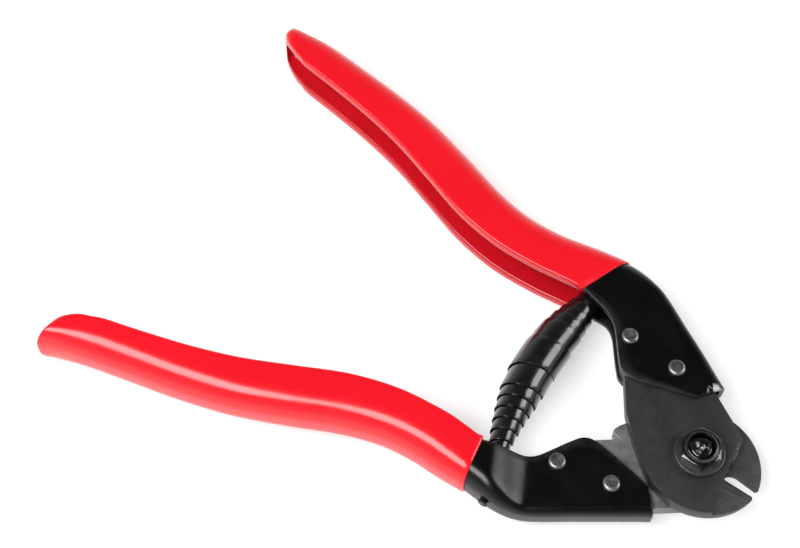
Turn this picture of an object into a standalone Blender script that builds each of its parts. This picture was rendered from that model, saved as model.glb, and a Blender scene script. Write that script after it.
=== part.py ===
"""Hand wire rope cutter: two pressed-steel channel handles with dipped grips, two stacked shear
blades on one pivot bolt, and a double volute spring between the handles that holds them open.

Both arms are the same set of pressings. The upper arm is modelled in place and the lower arm is
the same arm turned half a turn about the X axis, so every arm piece is built by one function.
Lengths below are in millimetres; the tool lies on the plane z = 0 with its pivot axis on Z.
"""
import math

import bmesh
import bpy
from mathutils import Vector

MM = 0.001

# ---- driving dimensions -------------------------------------------------------------------
PARTING = 7.9            # height of the plane where the two blades slide on each other
GAP = 0.3                # clearance between flat faces that rest on each other
FIT = 0.3                # radial clearance of shanks in their holes
BLADE = 4.0              # blade thickness
WALL = 1.6               # sheet thickness of the handle channel
CHANNEL_HALF = 6.6       # half the outer width of the channel inside the grip
GRIP_BEND = 5.0          # outer bend radius of the channel inside the grip
HEAD_BEND = 2.4          # outer bend radius where the channel clamps the blade
COAT = 1.0               # thickness of the dipped grip
COAT_INSIDE = 0.5        # its thickness on the inside of the channel
COAT_GAP = 0.3           # clearance between grip and steel
COAT_STATIONS = {"upper": 22, "lower": 20}  # steps along the handle that each dip covers

BLADE_LOW = GAP / 2
BLADE_HIGH = BLADE_LOW + BLADE
HEAD_FRONT = BLADE_HIGH + GAP + WALL
HEAD_BACK = -(GAP / 2 + WALL)

PIVOT_RADIUS = 3.0       # M6 bolt
NUT_FLATS = 10.0
NUT_HEIGHT = 3.25
COLLAR_RADIUS = 4.0
WASHER_RADIUS = 6.6
WASHER_HEIGHT = 1.4
RIVET_SHANK = 1.6
RIVET_HEAD = 2.3
RIVET_RISE = 0.9
RIVETS = {"rear": (-30.0, 19.7), "front": (-15.4, 17.8)}

DISC_CENTRE = (1.2, 1.2)  # the blade's round end, seen along the pivot axis
DISC_RADIUS = 16.2
DISC_STEP = 7.5          # degrees between points on the round end
BLADE_CHAMFER = 0.4

SPRING_X = -41.5         # line between the spring's ends
SPRING_BOW = 6.3         # how far the spring bows off that line, towards the grips
SPRING_BOW_Y = 1.0       # where along Y it bows most
SPRING_SPAN = 74.0       # length over which it bows
SPRING_MID_Y = 3.8       # middle of the widest turn
SPRING_MID_RADIUS = 6.25
SPRING_STEP = 0.51       # change of radius from one turn to the next
UPPER_TURNS = 7.25
LOWER_TURNS = 8.5
SPRING_PITCH = 3.0
FIRST_TURN_EXTRA = 3.5   # the widest turn shows this much more of its strip
TAIL_TURNS = 6.0         # after this many turns either end opens out
TAIL_STRETCH = 0.8
STRIP_WIDTH = 9.2
STRIP_THICKNESS = 0.26
STRIP_STEPS = 12         # flats per turn

STUD_X = -40.9
STUD_SHANK = 1.1
STUD_HEAD = 1.5

# The channel's sections from the handle's end to the pivot end: a point on the back of the
# channel (its web), and the point on the free edge of the walls that faces it.
SECTIONS = [
    ((-160.9, 59.2), (-154.2, 51.1)),
    ((-151.0, 57.9), (-149.8, 49.9)),
    ((-138.0, 55.7), (-139.4, 47.8)),
    ((-124.0, 53.2), (-125.8, 44.6)),
    ((-110.0, 49.8), (-112.8, 40.6)),
    ((-96.0, 44.8), (-99.8, 35.3)),
    ((-83.0, 39.6), (-86.5, 29.8)),
    ((-72.0, 36.6), (-73.8, 26.7)),
    ((-62.0, 36.0), (-62.0, 26.0)),
    ((-53.5, 36.7), (-54.2, 26.3)),
    ((-47.6, 37.4), (-49.5, 26.3)),
    ((-43.0, 38.1), (-46.4, 25.6)),
    ((-39.0, 38.5), (-43.2, 24.6)),
    ((-34.5, 38.0), (-40.0, 23.6)),
    ((-30.0, 36.5), (-37.2, 22.4)),
    ((-26.0, 34.4), (-34.8, 20.4)),
    ((-22.5, 32.3), (-32.2, 16.6)),
    ((-19.3, 30.3), (-29.6, 12.7)),
    ((-16.2, 28.4), (-27.2, 10.0)),
    ((-13.0, 26.4), (-23.6, 9.4)),
    ((-9.0, 23.9), (-17.2, 10.8)),
    ((-5.2, 21.5), (-11.5, 12.2)),
    ((-2.2, 19.7), (-7.2, 13.3)),
]

# The channel narrows from the grip to the head on a ramp whose middle crosses it from the
# free edge to the web, between these two points.
RAMP_START = Vector((-39.7, 27.6))
RAMP_END = Vector((-35.7, 37.1))
RAMP_HALF = 4.6

# Blade edge inside the channel, from the free edge side round to the front
TANG = [(-26.0, 9.5), (-27.9, 11.3), (-30.6, 15.2), (-33.5, 19.8), (-34.0, 22.6), (-32.0, 25.2),
        (-22.0, 26.0), (-5.4, 18.8)]
# Shoulder of the blade from the handle to the jaw's root
SHOULDER = [(7.8, 9.8), (8.4, 5.7), (8.6, 3.6), (8.3, 0.6)]
# Rear edge of the blade from the round end back to the handle
FLANK = [(-12.3, -8.4), (-16.5, -4.3), (-21.0, 0.8)]
# The same edge on the lower blade, cut back behind a lug that stops the handles
FLANK_WITH_LUG = [(-12.3, -8.4), (-16.5, -4.3), (-20.6, 0.7), (-21.6, 2.6), (-21.9, 3.6),
                  (-21.1, 4.2), (-19.3, 4.8), (-24.2, 8.2)]
# Cutting edges from the jaw's root to its tip
UPPER_BLADE_EDGE = [(8.3, -1.4), (16.6, -2.0)]
LOWER_BLADE_EDGE = [(9.1, 0.0), (9.9, -0.7), (10.9, -0.9), (16.6, 0.1)]
GROUND_LAND = [(8.2, 3.0), (8.2, -1.3), (8.9, -4.4), (9.2, -7.8), (9.9, -12.0), (10.0, -19.0),
               (24.0, -19.0), (24.0, 3.0)]
GROUND_HEIGHT = 0.8      # metal left under the jaw's ground face at its cutting edge
GROUND_EDGE_Y = -1.3
GROUND_SLOPE = math.radians(10.0)


# ---- scene and shape helpers -----------------------------------------------------------------
def clear_scene():
    for obj in list(bpy.data.objects):
        bpy.data.objects.remove(obj)


def new_collection(name):
    collection = bpy.data.collections.new(name)
    bpy.context.scene.collection.children.link(collection)
    return collection


def material(name, color, roughness, metallic):
    mat = bpy.data.materials.new(name)
    mat.use_nodes = True
    shader = mat.node_tree.nodes["Principled BSDF"]
    shader.inputs["Base Color"].default_value = (*color, 1.0)
    shader.inputs["Roughness"].default_value = roughness
    shader.inputs["Metallic"].default_value = metallic
    return mat


def place(name, mesh, collection, parent, location=(0.0, 0.0, 0.0), finish=None):
    """Link a mesh as an object under its arm's empty; location is in millimetres."""
    obj = bpy.data.objects.new(name, mesh)
    collection.objects.link(obj)
    obj.parent = parent
    obj.location = Vector(location) * MM
    if finish:
        mesh.materials.append(finish)
    return obj


def mesh_from(name, verts, faces):
    mesh = bpy.data.meshes.new(name)
    mesh.from_pydata([Vector(v) * MM for v in verts], [], faces)
    bm = bmesh.new()
    bm.from_mesh(mesh)
    bmesh.ops.recalc_face_normals(bm, faces=bm.faces)
    bm.to_mesh(mesh)
    bm.free()
    round_shading(mesh)
    return mesh


def round_shading(mesh):
    mesh.shade_smooth()
    mesh.set_sharp_from_angle(angle=math.radians(35))


def smooth_path(points, steps):
    """Points on a Catmull-Rom curve through the given ones, `steps` to each interval."""
    pts = [Vector(p) for p in points]
    pts = [2 * pts[0] - pts[1]] + pts + [2 * pts[-1] - pts[-2]]
    path = []
    for a, b, c, d in zip(pts, pts[1:], pts[2:], pts[3:]):
        for i in range(steps):
            t = i / steps
            path.append(0.5 * (2 * b + (c - a) * t + (2 * a - 5 * b + 4 * c - d) * t * t
                               + (3 * b - a - 3 * c + d) * t ** 3))
    path.append(pts[-2])
    return path


def plate_mesh(name, outline, low, high):
    """A flat plate between two heights, with a mark on its upper rim for the Bevel modifier."""
    mesh = bpy.data.meshes.new(name)
    bm = bmesh.new()
    face = bm.faces.new([bm.verts.new(Vector((x, y, low)) * MM) for x, y in outline])
    raised = bmesh.ops.extrude_face_region(bm, geom=[face])
    top = [g for g in raised["geom"] if isinstance(g, bmesh.types.BMVert)]
    bmesh.ops.translate(bm, verts=top, vec=Vector((0, 0, (high - low) * MM)))
    bmesh.ops.recalc_face_normals(bm, faces=bm.faces)
    weight = bm.edges.layers.float.new("bevel_weight_edge")
    rim = set(top)
    for edge in bm.edges:
        if edge.verts[0] in rim and edge.verts[1] in rim:
            edge[weight] = 1.0
    bm.to_mesh(mesh)
    bm.free()
    return mesh


def turned(name, profile, steps, collection, parent, location=(0.0, 0.0, 0.0), finish=None):
    """A turned piece: the profile runs from the axis out, down its outer side and back in."""
    mesh = bpy.data.meshes.new(name)
    count = len(profile)
    closed = profile[0][0] > 0.0
    edges = [(i, i + 1) for i in range(count - 1)]
    if closed:
        edges.append((count - 1, 0))
    mesh.from_pydata([Vector((r, 0.0, z)) * MM for r, z in profile], edges, [])
    obj = place(name, mesh, collection, parent, location, finish)
    screw = obj.modifiers.new("turn", 'SCREW')
    screw.axis = 'Z'
    screw.steps = steps
    screw.render_steps = steps
    screw.use_merge_vertices = True
    screw.merge_threshold = 0.00001
    screw.use_smooth_shade = True
    return obj


def cut(obj, cutter, operation='DIFFERENCE'):
    boolean = obj.modifiers.new(operation.lower(), 'BOOLEAN')
    boolean.operation = operation
    boolean.solver = 'EXACT'
    boolean.object = cutter


def as_cutter(obj):
    obj.hide_render = True
    obj.display_type = 'WIRE'
    return obj


def drill(name, radius, low, high, spot, cutters, parent):
    profile = [(0.0, high), (radius, high), (radius, low), (0.0, low)]
    return as_cutter(turned(name, profile, 24, cutters, parent, (spot[0], spot[1], 0.0)))


# ---- handle channel ----------------------------------------------------------------------------
def ramp(point):
    """0 in the wide part of the channel under the grip, 1 in the narrow head."""
    along = (RAMP_END - RAMP_START).normalized()
    ahead = Vector((along.y, -along.x)).dot(point - RAMP_START)
    t = min(max((ahead + RAMP_HALF) / (2 * RAMP_HALF), 0.0), 1.0)
    return t * t * (3 - 2 * t)


def corner(radius, depth, height, side, steps):
    """Points round one bend, from the wall to the web; side is +1 on the front wall."""
    arc = []
    for i in range(steps + 1):
        angle = math.radians(90) * i / steps
        arc.append((depth + radius * (1 - math.sin(angle)),
                    height - side * radius * (1 - math.cos(angle))))
    return arc


def channel_side(web, edge, inset, reach, bend_steps):
    """One side of the U section, as (depth, height) points from front edge to back edge.

    inset is how far the side lies inside the sheet's outer face, and reach is how far it
    runs past the free edge.
    """
    depth = (edge - web).length
    bend = GRIP_BEND + (HEAD_BEND - GRIP_BEND) * ramp(web)
    points = []
    for side in (1, -1):
        head = HEAD_FRONT if side > 0 else HEAD_BACK
        wall = []
        for f in (1.0, 0.6, 0.3, 0.0):
            at = bend + (depth - bend) * f
            level = ramp(web.lerp(edge, at / depth))
            height = side * CHANNEL_HALF * (1 - level) + head * level - side * inset
            wall.append((at + (reach if f == 1.0 else 0.0), height))
        wall += corner(bend - inset, inset, height, side, bend_steps)[1:]
        points += wall if side > 0 else wall[::-1]
    return points


def to_plan(web, edge, loop):
    into = (edge - web).normalized()
    return [(*(web + into * d), h) for d, h in loop]


def sheet_ring(web, edge, grow=0.0, bend_steps=3):
    """The sheet's U section as a closed loop, grown all round for the pocket it sits in."""
    outer = channel_side(web, edge, -grow, grow, bend_steps)
    inner = channel_side(web, edge, WALL + grow, grow, bend_steps)
    return to_plan(web, edge, outer + inner[::-1])


def coat_ring(web, edge, filled=False, bend_steps=3):
    """The coat's U section, with rounded rims; filled closes the U up to its free edges."""
    reach = COAT_GAP + COAT
    outer = channel_side(web, edge, -reach, 0.2, bend_steps)
    inner = channel_side(web, edge, WALL + COAT_GAP + COAT_INSIDE, 0.2, bend_steps)
    rim = (edge - web).length + reach
    if filled:
        inner = [(rim - 0.6 + (d - rim) * 0.05, h) for d, h in inner]
    ease = (COAT + COAT_INSIDE) / 2
    front = [(rim, inner[0][1] + ease), (rim, outer[0][1] - ease)]
    back = [(rim, outer[-1][1] + ease), (rim, inner[-1][1] - ease)]
    return to_plan(web, edge, outer + back + inner[::-1] + front)


def handle_sections():
    web = smooth_path([s[0] for s in SECTIONS], 2)
    edge = smooth_path([s[1] for s in SECTIONS], 2)
    return list(zip(web, edge))


def ring_faces(start, count, rings):
    """Side faces of a lofted tube whose rings follow each other in the vertex list."""
    faces = []
    for k in range(rings - 1):
        a = start + k * count
        for i in range(count):
            j = (i + 1) % count
            faces.append((a + i, a + j, a + count + j, a + count + i))
    return faces


def channel_cap(start, half):
    """Quads that close a U-shaped end, pairing each outer point with its inner one."""
    last = start + 2 * half - 1
    return [(start + i, start + i + 1, last - i - 1, last - i) for i in range(half - 1)]


def handle_mesh():
    sections = handle_sections()
    rings = [sheet_ring(w, e) for w, e in sections]
    count = len(rings[0])
    verts = [v for ring in rings for v in ring]
    faces = ring_faces(0, count, len(rings))
    faces += channel_cap(0, count // 2)
    faces += channel_cap((len(rings) - 1) * count, count // 2)
    return mesh_from("handle_channel", verts, faces)


def pushed_end(ring, sections, distance, scale):
    """A copy of the handle's first section pushed out past its end and shrunk."""
    web, edge = sections[0]
    middle = (web + edge) / 2
    along = (edge - web).normalized()
    outward = Vector((along.y, -along.x))
    pushed = []
    for x, y, z in ring:
        p = middle + (Vector((x, y)) - middle) * scale + outward * distance
        pushed.append((p.x, p.y, z * scale))
    return pushed


def grip_mesh(stations):
    """The dipped sleeve: a coat over the channel with a pocket that the steel fills.

    The coat closes the channel's end with a plug between the walls.
    """
    sections = handle_sections()[:stations + 1]
    (web, edge), (next_web, next_edge) = sections[:2]
    plug = (web.lerp(next_web, 0.25), edge.lerp(next_edge, 0.25))
    end = coat_ring(web, edge, filled=True)
    outer = [pushed_end(end, sections, 3.5, 0.7), pushed_end(end, sections, 2.2, 0.92), end]
    outer += [coat_ring(w, e) for w, e in [plug] + sections[1:]]
    pocket = [sheet_ring(w, e, COAT_GAP) for w, e in sections]
    pocket.insert(0, pushed_end(pocket[0], sections, 0.45, 1.0))
    n_out = len(outer[0])
    n_in = len(pocket[0])
    verts = [v for ring in outer + pocket for v in ring]
    start_in = n_out * len(outer)
    faces = ring_faces(0, n_out, len(outer)) + ring_faces(start_in, n_in, len(pocket))
    half_in = n_in // 2
    half_out = (n_out - 4) // 2
    faces += rounded_cap(0, half_out)
    faces += channel_cap(start_in, half_in)
    # the open end, where the steel comes out: join the coat's outline to the pocket's
    a = n_out * (len(outer) - 1)
    b = start_in + n_in * (len(pocket) - 1)
    faces += mouth_faces(a, half_out, b, half_in)
    return mesh_from("dipped_grip", verts, faces)


def rounded_cap(start, half):
    """Quads over a U section whose two free edges each have two extra points."""
    outer = [start + i for i in range(half)]
    back = [start + half, start + half + 1]
    inner = [start + half + 2 + i for i in range(half)]
    front = [start + 2 * half + 2, start + 2 * half + 3]
    inner = inner[::-1]
    faces = [(outer[i], outer[i + 1], inner[i + 1], inner[i]) for i in range(half - 1)]
    faces.append((outer[-1], back[0], back[1], inner[-1]))
    faces.append((inner[0], front[0], front[1], outer[0]))
    return faces


def mouth_faces(a, half_out, b, half_in):
    """The annular end face between the coat's outline (from a) and the pocket's (from b)."""
    outer = [a + i for i in range(half_out)]
    back = [a + half_out, a + half_out + 1]
    inner = [a + half_out + 2 + i for i in range(half_out)][::-1]
    front = [a + 2 * half_out + 2, a + 2 * half_out + 3]
    p_outer = [b + i for i in range(half_in)]
    p_inner = [b + half_in + i for i in range(half_in)][::-1]
    faces = []
    for i in range(half_out - 1):
        faces.append((outer[i], outer[i + 1], p_outer[i + 1], p_outer[i]))
        faces.append((inner[i + 1], inner[i], p_inner[i], p_inner[i + 1]))
    faces.append((outer[-1], back[0], p_outer[-1]))
    faces.append((back[0], back[1], p_inner[-1], p_outer[-1]))
    faces.append((back[1], inner[-1], p_inner[-1]))
    faces.append((inner[0], front[0], p_inner[0]))
    faces.append((front[0], front[1], p_outer[0], p_inner[0]))
    faces.append((front[1], outer[0], p_outer[0]))
    return faces


# ---- blades --------------------------------------------------------------------------------------
def blade_outline(edge, flank):
    cx, cy = DISC_CENTRE
    start = math.asin((edge[-1][1] - 0.7 - cy) / DISC_RADIUS)
    end = math.radians(-136)
    steps = round(math.degrees(start - end) / DISC_STEP)
    arc = []
    for i in range(steps + 1):
        angle = start + (end - start) * i / steps
        arc.append((cx + DISC_RADIUS * math.cos(angle), cy + DISC_RADIUS * math.sin(angle)))
    return TANG + SHOULDER + edge + arc + flank


def build_blade(name, edge, flank, arm):
    mesh = plate_mesh(name, blade_outline(edge, flank), BLADE_LOW, BLADE_HIGH)
    blade = place(name, mesh, arm["parts"], arm["empty"], finish=arm["blade_finish"])
    bevel = blade.modifiers.new("rim", 'BEVEL')
    bevel.limit_method = 'WEIGHT'
    bevel.width = BLADE_CHAMFER * MM
    bevel.segments = 1
    grind = plate_mesh(name + "_grind", GROUND_LAND, 0.0, 8.0)
    cutter = as_cutter(place(name + "_grind", grind, arm["cutters"], arm["empty"]))
    cutter.location.z = (GROUND_HEIGHT + GROUND_EDGE_Y * math.tan(GROUND_SLOPE)) * MM
    cutter.rotation_euler.x = -GROUND_SLOPE
    cut(blade, cutter)
    bore = drill(name + "_bore", PIVOT_RADIUS + FIT, -1.0, 6.0, (0.0, 0.0), arm["cutters"],
                 arm["empty"])
    cut(blade, bore)
    for cutter in arm["rivet_holes"]:
        cut(blade, cutter)
    return blade


# ---- fasteners --------------------------------------------------------------------------------
def rivet_profile():
    low = HEAD_BACK - GAP
    high = HEAD_FRONT + GAP
    half = [(0.0, RIVET_RISE), (RIVET_HEAD * 0.7, RIVET_RISE), (RIVET_HEAD, RIVET_RISE * 0.3),
            (RIVET_HEAD, 0.0), (RIVET_SHANK, 0.0)]
    return [(r, high + z) for r, z in half] + [(r, low - z) for r, z in reversed(half)]


def build_rivets(arm):
    for spot_name, spot in RIVETS.items():
        turned(f"{arm['name']}_{spot_name}_rivet", rivet_profile(), 20, arm["parts"],
               arm["empty"], (*spot, 0.0), arm["rivet_finish"])


def stud_place():
    """Where the stud crosses the outside of the web, and the turn that stands it square."""
    rows = handle_sections()
    near = min(range(1, len(rows) - 1), key=lambda i: abs(rows[i][0].x - STUD_X))
    before, at, after = (rows[near + k][0] for k in (-1, 0, 1))
    slope = (after - before).normalized()
    spot = at + slope * (STUD_X - at.x) / slope.x
    turn = (math.radians(-90), 0.0, math.atan2(slope.y, slope.x))
    return Vector((spot.x, spot.y, 0.0)) * MM, turn


def build_stud(arm):
    """The peg riveted through the web that centres the end of the spring."""
    inside = -WALL - GAP
    profile = [(0.0, GAP + 0.4), (STUD_HEAD * 0.7, GAP + 0.4), (STUD_HEAD, GAP + 0.1),
               (STUD_HEAD, GAP), (STUD_SHANK, GAP), (STUD_SHANK, inside),
               (STUD_SHANK, inside - 1.4), (STUD_SHANK * 0.7, inside - 1.9), (0.0, inside - 1.9)]
    stud = turned(f"{arm['name']}_spring_stud", profile, 16, arm["parts"], arm["empty"],
                  finish=arm["channel_finish"])
    stud.location, stud.rotation_euler = stud_place()


def hexagon_mesh(name, flats, low, high):
    radius = flats / math.sqrt(3)
    corners = [math.radians(60 * k - 4) for k in range(6)]
    outline = [(radius * math.cos(a), radius * math.sin(a)) for a in corners]
    return plate_mesh(name, outline, low, high)


def build_pivot(parts, cutters, centre, finish):
    """Bolt, washer and lock nut, stacked on the pivot axis."""
    washer_low = BLADE_HIGH + GAP
    washer_high = washer_low + WASHER_HEIGHT
    nut_low = washer_high + GAP
    nut_high = nut_low + NUT_HEIGHT
    flat_high = nut_low + 2.4
    head_low = -PARTING
    head_high = -BLADE_HIGH - GAP
    bore = PIVOT_RADIUS + FIT

    washer = [(bore, washer_high), (WASHER_RADIUS - 0.3, washer_high),
              (WASHER_RADIUS, washer_high - 0.3), (WASHER_RADIUS, washer_low), (bore, washer_low)]
    turned("pivot_washer", washer, 40, parts, centre, finish=finish)

    bolt = place("pivot_bolt", hexagon_mesh("pivot_bolt", NUT_FLATS, head_low, head_high), parts,
                 centre, finish=finish)
    corner_radius = NUT_FLATS / math.sqrt(3)
    head_shape = [(0.0, head_high + 1), (8.0, head_high + 1), (8.0, head_low + 1.9),
                  (corner_radius - 0.9, head_low), (0.0, head_low)]
    cut(bolt, as_cutter(turned("bolt_head_shape", head_shape, 36, cutters, centre)), 'INTERSECT')
    end = nut_high - 0.8
    shank = [(0.0, end - 0.9), (0.5, end - 0.5), (0.9, end), (PIVOT_RADIUS - 0.5, end),
             (PIVOT_RADIUS, end - 0.5), (PIVOT_RADIUS, head_high - 0.8), (0.0, head_high - 0.8)]
    cut(bolt, as_cutter(turned("bolt_shank", shank, 36, cutters, centre)), 'UNION')

    nut = place("pivot_nut", hexagon_mesh("pivot_nut", NUT_FLATS, nut_low, nut_high), parts,
                centre, finish=finish)
    nut_shape = [(0.0, nut_high), (COLLAR_RADIUS - 0.3, nut_high), (COLLAR_RADIUS, nut_high - 0.4),
                 (COLLAR_RADIUS + 0.2, flat_high + 0.1), (COLLAR_RADIUS + 0.8, flat_high),
                 (7.5, flat_high - 1.4), (7.5, nut_low - 1), (0.0, nut_low - 1)]
    cut(nut, as_cutter(turned("nut_shape", nut_shape, 36, cutters, centre)), 'INTERSECT')
    nut_bore = [(0.0, nut_high + 0.5), (bore + 0.5, nut_high + 0.5), (bore, nut_high - 0.3),
                (bore, nut_low - 1), (0.0, nut_low - 1)]
    cut(nut, as_cutter(turned("nut_bore", nut_bore, 36, cutters, centre)))


# ---- spring --------------------------------------------------------------------------------------
def spring_frame(y):
    """Centre and sideways direction of the bowed spring at a height along Y."""
    phase = math.pi * (y - SPRING_BOW_Y) / SPRING_SPAN
    lean = SPRING_BOW * math.pi / SPRING_SPAN * math.sin(phase)
    centre = Vector((SPRING_X - SPRING_BOW * math.cos(phase), y, 0.0))
    return centre, Vector((1.0, -lean, 0.0)).normalized()


def strip_height(turn):
    """Where along Y the middle of the strip is, this many turns from the widest one."""
    turns = abs(turn)
    tail = max(turns - TAIL_TURNS, 0.0)
    rise = SPRING_PITCH * turns + FIRST_TURN_EXTRA * min(turns, 1.0) + TAIL_STRETCH * tail * tail
    return SPRING_MID_Y + math.copysign(rise, turn)


def spring_mesh():
    """One strip wound both ways from its widest turn, each turn nested in the one before."""
    first = round(-LOWER_TURNS * STRIP_STEPS)
    last = round(UPPER_TURNS * STRIP_STEPS)
    corners = [(0.0, 0.5), (0.0, 0.0), (0.0, -0.5), (1.0, -0.5), (1.0, 0.0), (1.0, 0.5)]
    verts = []
    for i in range(first, last + 1):
        turn = i / STRIP_STEPS
        angle = math.pi / 2 - 2 * math.pi * turn
        for inner, side in corners:
            r = SPRING_MID_RADIUS - SPRING_STEP * abs(turn) - inner * STRIP_THICKNESS
            centre, sideways = spring_frame(strip_height(turn) + side * STRIP_WIDTH)
            verts.append(centre + r * math.cos(angle) * sideways
                         + Vector((0.0, 0.0, r * math.sin(angle))))
    count = len(corners)
    rings = last - first + 1
    faces = ring_faces(0, count, rings)
    for start in (0, count * (rings - 1)):
        faces.append((start, start + 1, start + 4, start + 5))
        faces.append((start + 1, start + 2, start + 3, start + 4))
    return mesh_from("volute_strip", verts, faces)


# ---- arms ------------------------------------------------------------------------------------
def build_arm(name, turn, parts, cutters, finishes, blade_name, edge, flank):
    empty = bpy.data.objects.new(f"{name}_arm", None)
    parts.objects.link(empty)
    empty.location = (0.0, 0.0, PARTING * MM)
    empty.rotation_euler.x = turn
    arm = {"name": name, "empty": empty, "parts": parts, "cutters": cutters, **finishes}
    arm["rivet_holes"] = [drill(f"{name}_{key}_rivet_hole", RIVET_SHANK + FIT, HEAD_BACK - 2,
                                HEAD_FRONT + 2, spot, cutters, empty)
                          for key, spot in RIVETS.items()]

    handle = place(f"{name}_handle", handle_mesh(), parts, empty, finish=arm["channel_finish"])
    for cutter in arm["rivet_holes"]:
        cut(handle, cutter)
    hole = drill(f"{name}_stud_hole", STUD_SHANK + FIT, -WALL - 2, 2.0, (0.0, 0.0), cutters, empty)
    hole.location, hole.rotation_euler = stud_place()
    cut(handle, hole)

    place(f"{name}_grip", grip_mesh(COAT_STATIONS[name]), parts, empty, finish=arm["grip_finish"])
    build_blade(blade_name, edge, flank, arm)
    build_rivets(arm)
    build_stud(arm)
    return empty


def main():
    clear_scene()
    parts = new_collection("wire_rope_cutter")
    cutters = new_collection("cutters")
    black = material("gloss_black_paint", (0.012, 0.012, 0.014), 0.22, 0.0)
    finishes = {
        "channel_finish": black,
        "grip_finish": material("red_vinyl_dip", (0.80, 0.012, 0.022), 0.28, 0.0),
        "blade_finish": material("dark_blade_steel", (0.10, 0.10, 0.105), 0.42, 1.0),
        "rivet_finish": material("bright_rivet_steel", (0.55, 0.55, 0.57), 0.30, 1.0),
    }
    upper = build_arm("upper", 0.0, parts, cutters, finishes, "front_blade", UPPER_BLADE_EDGE,
                      FLANK)
    build_arm("lower", math.pi, parts, cutters, finishes, "back_blade", LOWER_BLADE_EDGE,
              FLANK_WITH_LUG)
    build_pivot(parts, cutters, upper, material("black_oxide", (0.015, 0.015, 0.017), 0.3, 0.6))
    place("return_spring", spring_mesh(), parts, None, (0.0, 0.0, PARTING),
          material("black_spring_steel", (0.014, 0.014, 0.016), 0.25, 0.3))


main()
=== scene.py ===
"""Looks for the hand wire rope cutter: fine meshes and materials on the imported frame.

Every visual piece is built in the arm's own millimetres, where z = 0 is the plane the blades
slide on, and then placed in the row frame. The lower arm is the upper arm turned half a turn
about X.
"""
import math

import bmesh
import bpy
from mathutils import Matrix, Vector


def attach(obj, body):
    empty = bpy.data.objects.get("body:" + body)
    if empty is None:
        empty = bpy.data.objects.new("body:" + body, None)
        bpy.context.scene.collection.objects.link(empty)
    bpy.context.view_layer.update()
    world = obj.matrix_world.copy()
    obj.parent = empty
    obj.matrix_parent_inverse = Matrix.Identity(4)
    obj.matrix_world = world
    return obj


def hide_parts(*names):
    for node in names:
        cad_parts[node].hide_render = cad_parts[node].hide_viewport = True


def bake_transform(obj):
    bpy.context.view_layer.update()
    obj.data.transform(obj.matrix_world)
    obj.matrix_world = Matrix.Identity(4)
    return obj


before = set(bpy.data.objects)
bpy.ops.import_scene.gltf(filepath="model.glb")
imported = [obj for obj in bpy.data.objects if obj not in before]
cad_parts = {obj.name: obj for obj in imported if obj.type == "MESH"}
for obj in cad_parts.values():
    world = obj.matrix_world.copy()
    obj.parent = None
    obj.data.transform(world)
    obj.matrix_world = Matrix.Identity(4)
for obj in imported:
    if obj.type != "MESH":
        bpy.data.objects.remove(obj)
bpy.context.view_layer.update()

MM = 0.001
UPPER, LOWER = "upper_arm", "lower_arm"
PARTING = 7.9

# ---- dimensions shared with the CAD, in millimetres -----------------------------------------
GAP = 0.3
WALL = 1.6
CHANNEL_HALF = 6.6
GRIP_BEND = 5.0
HEAD_BEND = 2.4
COAT_GAP = 0.3
COAT = 1.0
COAT_INSIDE = 0.5
# where each dip ends: along the web, and along the walls' free edges
COAT_END = {UPPER: ((-41.4, 38.6), (-47.0, 25.8)), LOWER: ((-47.0, 37.6), (-48.4, 26.0))}
COAT_SECTIONS = 12
SHEET_RELIEF = 0.7
MOUTH_TAPER = 12.0
BLADE_LOW = GAP / 2
BLADE_HIGH = BLADE_LOW + 4.0
HEAD_FRONT = BLADE_HIGH + GAP + WALL
HEAD_BACK = -(GAP / 2 + WALL)
RIVETS = {"rear": (-30.0, 19.7), "front": (-15.4, 17.8)}
SECTIONS = [
    ((-160.9, 59.2), (-154.2, 51.1)),
    ((-151.0, 57.9), (-149.8, 49.9)),
    ((-138.0, 55.7), (-139.4, 47.8)),
    ((-124.0, 53.2), (-125.8, 44.6)),
    ((-110.0, 49.8), (-112.8, 40.6)),
    ((-96.0, 44.8), (-99.8, 35.3)),
    ((-83.0, 39.6), (-86.5, 29.8)),
    ((-72.0, 36.6), (-73.8, 26.7)),
    ((-62.0, 36.0), (-62.0, 26.0)),
    ((-53.5, 36.7), (-54.2, 26.3)),
    ((-47.6, 37.4), (-49.5, 26.3)),
    ((-43.0, 38.1), (-46.4, 25.6)),
    ((-39.0, 38.5), (-43.2, 24.6)),
    ((-34.5, 38.0), (-40.0, 23.6)),
    ((-30.0, 36.5), (-37.2, 22.4)),
    ((-26.0, 34.4), (-34.8, 20.4)),
    ((-22.5, 32.3), (-32.2, 16.6)),
    ((-19.3, 30.3), (-29.6, 12.7)),
    ((-16.2, 28.4), (-27.2, 10.0)),
    ((-13.0, 26.4), (-23.6, 9.4)),
    ((-9.0, 23.9), (-17.2, 10.8)),
    ((-5.2, 21.5), (-11.5, 12.2)),
    ((-2.2, 19.7), (-7.2, 13.3)),
]
# how far each arm's web stands out from the shared sections, at places along X
SWELL = {
    UPPER: [(-162.0, 0.4), (-145.0, 1.5), (-60.0, 1.7), (-42.0, 2.4), (-31.0, 1.3), (-16.0, 0.8),
            (0.0, 0.2)],
    LOWER: [(-162.0, 0.0), (-60.0, 0.0), (-36.0, -0.4), (-20.0, -0.6), (0.0, -0.4)],
}
# which way and how far each dip's rounded end stands out, and which part of the section it
# closes towards, from the web at 0 to the free edge at 1
TIP = {UPPER: Vector((-2.3, -1.9)), LOWER: Vector((-2.3, 1.1))}
TIP_NOSE = {UPPER: 0.3, LOWER: 0.2}
# how much further its free edge's side stands out
TIP_LEAN = {UPPER: 0.0, LOWER: 2.6}
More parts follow.
